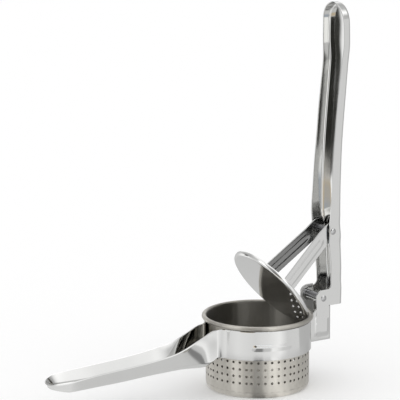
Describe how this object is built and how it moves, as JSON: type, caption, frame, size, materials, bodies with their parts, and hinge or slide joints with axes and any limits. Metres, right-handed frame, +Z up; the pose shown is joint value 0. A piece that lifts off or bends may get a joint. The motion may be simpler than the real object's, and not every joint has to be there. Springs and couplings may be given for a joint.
{
  "type": "lever potato press",
  "caption": "Hand press for boiled potatoes: a hinged lever drives a disc down into a perforated round basket that hangs in a stamped frame with a channel handle.",
  "frame": {"origin": "centre of the basket's underside, on the surface that the press stands on", "axes": "+Z up, +X from the basket towards the hinge, -X along the lower handle"},
  "size_m": [0.2832, 0.092, 0.3126],
  "materials": {
    "basket_steel": "satin stainless sheet with drawing marks down the wall",
    "polished_steel": "mirror-polished stainless sheet",
    "pin_steel": "bright stainless rivets and tubes"
  },
  "bodies": {
    "frame": {"frame": "polished_steel", "hinge_rivet": "pin_steel", "hinge_spacer": "pin_steel"},
    "basket": {"basket": "basket_steel"},
    "lever": {"lever": "polished_steel", "presser_rivet": "pin_steel", "presser_spacer": "pin_steel"},
    "presser": {"stirrup": "polished_steel", "press_disc": "polished_steel"}
  },
  "joints": [
    {"name": "lever_hinge", "type": "hinge", "parent": "frame", "child": "lever", "pos_m": [0.0576, 0, 0.0676], "axis": [0, -1, 0], "range_deg": [0, 85]},
    {"name": "presser_hinge", "type": "hinge", "parent": "lever", "child": "presser", "pos_m": [0.0658, 0, 0.1235], "axis": [0, -1, 0], "range_deg": [-33.3, 0]},
    {"name": "basket_turn", "type": "hinge", "parent": "frame", "child": "basket", "pos_m": [0, 0, 0.03], "axis": [0, 0, 1], "continuous": true}
  ],
  "couplings": [
    {"joint": "presser_hinge", "follows": "lever_hinge", "ratio": -0.39}
  ]
}
